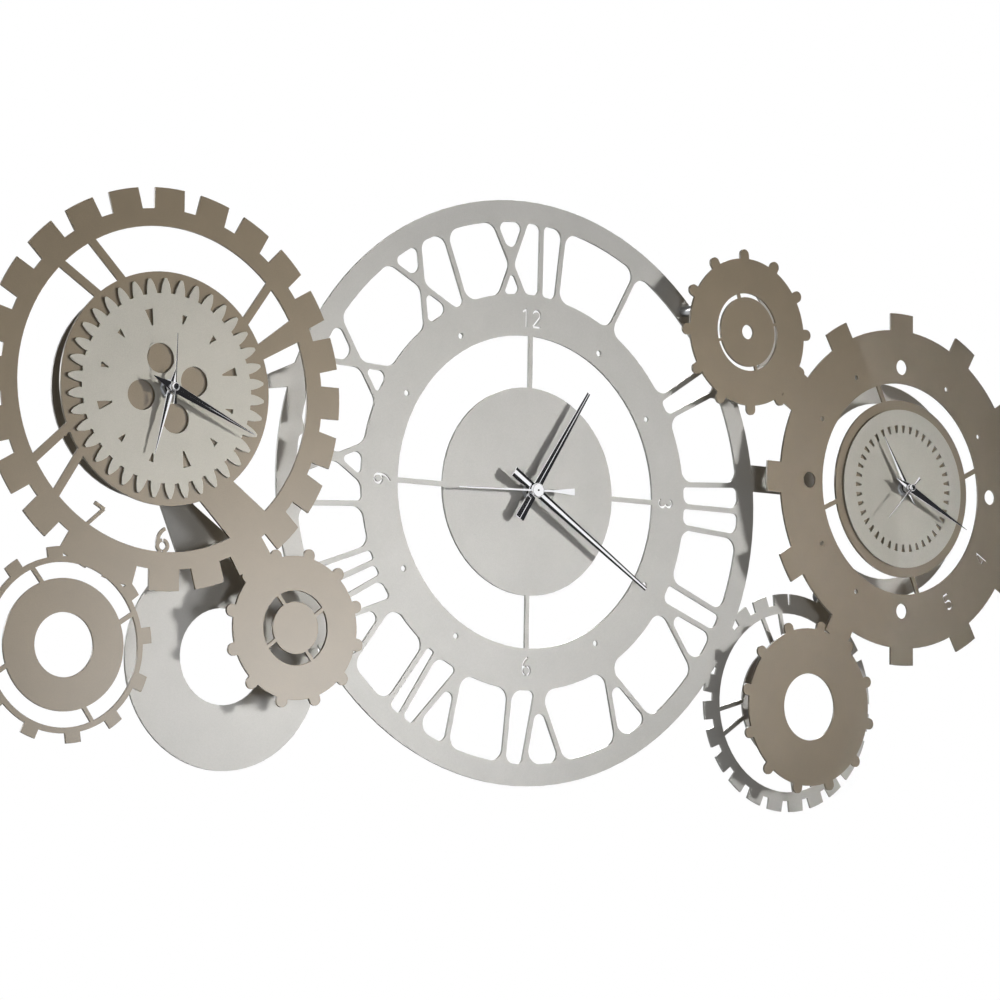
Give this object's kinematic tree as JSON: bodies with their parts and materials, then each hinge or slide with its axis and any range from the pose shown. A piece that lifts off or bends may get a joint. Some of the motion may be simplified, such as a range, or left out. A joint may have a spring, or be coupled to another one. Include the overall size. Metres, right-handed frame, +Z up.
{
  "type": "world time wall clock",
  "caption": "Wall clock of laser-cut sheet gear wheels with separate quartz clocks, each with hour, minute and second hands, on a large openwork numeral wheel.",
  "frame": {"origin": "midway between the two hanging holes, on the plane of the wall", "axes": "+Z up, +Y into the wall, +X to the right as seen from the front"},
  "size_m": [1.049, 0.0662, 0.4984],
  "materials": {
    "light_grey_paint": "satin powder coat",
    "taupe_paint": "satin pearl powder coat",
    "grey_paint": "satin powder coat",
    "steel": "brushed",
    "black_plastic": "moulded",
    "white_plastic": "moulded",
    "board": "laminate",
    "copper_wire": "wound",
    "battery_can": "printed sleeve",
    "chrome": "polished"
  },
  "bodies": {
    "frame": {"back_sheet": "light_grey_paint", "left_gear_sheet": "taupe_paint", "right_gear_sheet": "taupe_paint", "left_dial": "grey_paint", "right_dial": "grey_paint", "dial_spacers": "black_plastic", "sheet_pillars": "steel", "pillar_screws": "steel", "wall_bracket": "steel", "wall_feet": "black_plastic", "bush_washers": "steel", "bush_nuts": "steel", "batteries": "battery_can", "battery_contacts": "steel", "centre_case": "black_plastic", "centre_back_cover": "black_plastic", "centre_circuit_board": "board", "centre_motor_stator": "steel", "centre_motor_coil": "copper_wire", "left_case": "black_plastic", "left_back_cover": "black_plastic", "left_circuit_board": "board", "left_motor_stator": "steel", "left_motor_coil": "copper_wire", "right_case": "black_plastic", "right_back_cover": "black_plastic", "right_circuit_board": "board", "right_motor_stator": "steel", "right_motor_coil": "copper_wire"},
    "centre_minutes": {"centre_minute_wheel": "white_plastic", "centre_minute_hand": "chrome"},
    "centre_hours": {"centre_hour_wheel": "white_plastic", "centre_hour_hand": "chrome"},
    "centre_seconds": {"centre_second_wheel": "white_plastic", "centre_second_hand": "chrome"},
    "centre_motion": {"centre_motion_wheel": "white_plastic"},
    "centre_knob": {"centre_setting_knob": "white_plastic"},
    "centre_third": {"centre_third_wheel": "white_plastic"},
    "centre_magnet": {"centre_rotor": "white_plastic"},
    "left_minutes": {"left_minute_wheel": "white_plastic", "left_minute_hand": "chrome"},
    "left_hours": {"left_hour_wheel": "white_plastic", "left_hour_hand": "chrome"},
    "left_seconds": {"left_second_wheel": "white_plastic", "left_second_hand": "chrome"},
    "left_motion": {"left_motion_wheel": "white_plastic"},
    "left_knob": {"left_setting_knob": "white_plastic"},
    "left_third": {"left_third_wheel": "white_plastic"},
    "left_magnet": {"left_rotor": "white_plastic"},
    "right_minutes": {"right_minute_wheel": "white_plastic", "right_minute_hand": "chrome"},
    "right_hours": {"right_hour_wheel": "white_plastic", "right_hour_hand": "chrome"},
    "right_seconds": {"right_second_wheel": "white_plastic", "right_second_hand": "chrome"},
    "right_motion": {"right_motion_wheel": "white_plastic"},
    "right_knob": {"right_setting_knob": "white_plastic"},
    "right_third": {"right_third_wheel": "white_plastic"},
    "right_magnet": {"right_rotor": "white_plastic"}
  },
  "joints": [
    {"name": "centre_minutes_turn", "type": "hinge", "parent": "frame", "child": "centre_minutes", "pos_m": [0, -0.022, -0.053], "axis": [0, 1, 0], "continuous": true},
    {"name": "centre_hours_turn", "type": "hinge", "parent": "frame", "child": "centre_hours", "pos_m": [0, -0.022, -0.053], "axis": [0, 1, 0], "continuous": true},
    {"name": "centre_motion_turn", "type": "hinge", "parent": "frame", "child": "centre_motion", "pos_m": [-0.008, -0.022, -0.053], "axis": [0, 1, 0], "continuous": true},
    {"name": "centre_knob_turn", "type": "hinge", "parent": "frame", "child": "centre_knob", "pos_m": [-0.01366, -0.022, -0.04734], "axis": [0, 1, 0], "continuous": true},
    {"name": "centre_seconds_turn", "type": "hinge", "parent": "frame", "child": "centre_seconds", "pos_m": [0, -0.022, -0.053], "axis": [0, 1, 0], "continuous": true},
    {"name": "centre_third_turn", "type": "hinge", "parent": "frame", "child": "centre_third", "pos_m": [0.00636, -0.022, -0.04664], "axis": [0, 1, 0], "continuous": true},
    {"name": "centre_magnet_turn", "type": "hinge", "parent": "frame", "child": "centre_magnet", "pos_m": [0.01056, -0.022, -0.03936], "axis": [0, 1, 0], "continuous": true},
    {"name": "left_minutes_turn", "type": "hinge", "parent": "frame", "child": "left_minutes", "pos_m": [-0.35159, -0.049, -0.0039], "axis": [0, 1, 0], "continuous": true},
    {"name": "left_hours_turn", "type": "hinge", "parent": "frame", "child": "left_hours", "pos_m": [-0.35159, -0.049, -0.0039], "axis": [0, 1, 0], "continuous": true},
    {"name": "left_motion_turn", "type": "hinge", "parent": "frame", "child": "left_motion", "pos_m": [-0.35959, -0.049, -0.0039], "axis": [0, 1, 0], "continuous": true},
    {"name": "left_knob_turn", "type": "hinge", "parent": "frame", "child": "left_knob", "pos_m": [-0.36524, -0.049, 0.00176], "axis": [0, 1, 0], "continuous": true},
    {"name": "left_seconds_turn", "type": "hinge", "parent": "frame", "child": "left_seconds", "pos_m": [-0.35159, -0.049, -0.0039], "axis": [0, 1, 0], "continuous": true},
    {"name": "left_third_turn", "type": "hinge", "parent": "frame", "child": "left_third", "pos_m": [-0.34522, -0.049, 0.00246], "axis": [0, 1, 0], "continuous": true},
    {"name": "left_magnet_turn", "type": "hinge", "parent": "frame", "child": "left_magnet", "pos_m": [-0.34102, -0.049, 0.00974], "axis": [0, 1, 0], "continuous": true},
    {"name": "right_minutes_turn", "type": "hinge", "parent": "frame", "child": "right_minutes", "pos_m": [0.38965, -0.049, -0.02439], "axis": [0, 1, 0], "continuous": true},
    {"name": "right_hours_turn", "type": "hinge", "parent": "frame", "child": "right_hours", "pos_m": [0.38965, -0.049, -0.02439], "axis": [0, 1, 0], "continuous": true},
    {"name": "right_motion_turn", "type": "hinge", "parent": "frame", "child": "right_motion", "pos_m": [0.38165, -0.049, -0.02439], "axis": [0, 1, 0], "continuous": true},
    {"name": "right_knob_turn", "type": "hinge", "parent": "frame", "child": "right_knob", "pos_m": [0.37599, -0.049, -0.01873], "axis": [0, 1, 0], "continuous": true},
    {"name": "right_seconds_turn", "type": "hinge", "parent": "frame", "child": "right_seconds", "pos_m": [0.38965, -0.049, -0.02439], "axis": [0, 1, 0], "continuous": true},
    {"name": "right_third_turn", "type": "hinge", "parent": "frame", "child": "right_third", "pos_m": [0.39602, -0.049, -0.01802], "axis": [0, 1, 0], "continuous": true},
    {"name": "right_magnet_turn", "type": "hinge", "parent": "frame", "child": "right_magnet", "pos_m": [0.40021, -0.049, -0.01075], "axis": [0, 1, 0], "continuous": true}
  ],
  "couplings": [
    {"joint": "centre_hours_turn", "follows": "centre_minutes_turn", "ratio": 0.083333},
    {"joint": "centre_motion_turn", "follows": "centre_minutes_turn", "ratio": -0.33333},
    {"joint": "centre_knob_turn", "follows": "centre_minutes_turn", "ratio": 1},
    {"joint": "centre_third_turn", "follows": "centre_seconds_turn", "ratio": -5},
    {"joint": "centre_magnet_turn", "follows": "centre_seconds_turn", "ratio": 30},
    {"joint": "left_hours_turn", "follows": "left_minutes_turn", "ratio": 0.083333},
    {"joint": "left_motion_turn", "follows": "left_minutes_turn", "ratio": -0.33333},
    {"joint": "left_knob_turn", "follows": "left_minutes_turn", "ratio": 1},
    {"joint": "left_third_turn", "follows": "left_seconds_turn", "ratio": -5},
    {"joint": "left_magnet_turn", "follows": "left_seconds_turn", "ratio": 30},
    {"joint": "right_hours_turn", "follows": "right_minutes_turn", "ratio": 0.083333},
    {"joint": "right_motion_turn", "follows": "right_minutes_turn", "ratio": -0.33333},
    {"joint": "right_knob_turn", "follows": "right_minutes_turn", "ratio": 1},
    {"joint": "right_third_turn", "follows": "right_seconds_turn", "ratio": -5},
    {"joint": "right_magnet_turn", "follows": "right_seconds_turn", "ratio": 30}
  ]
}
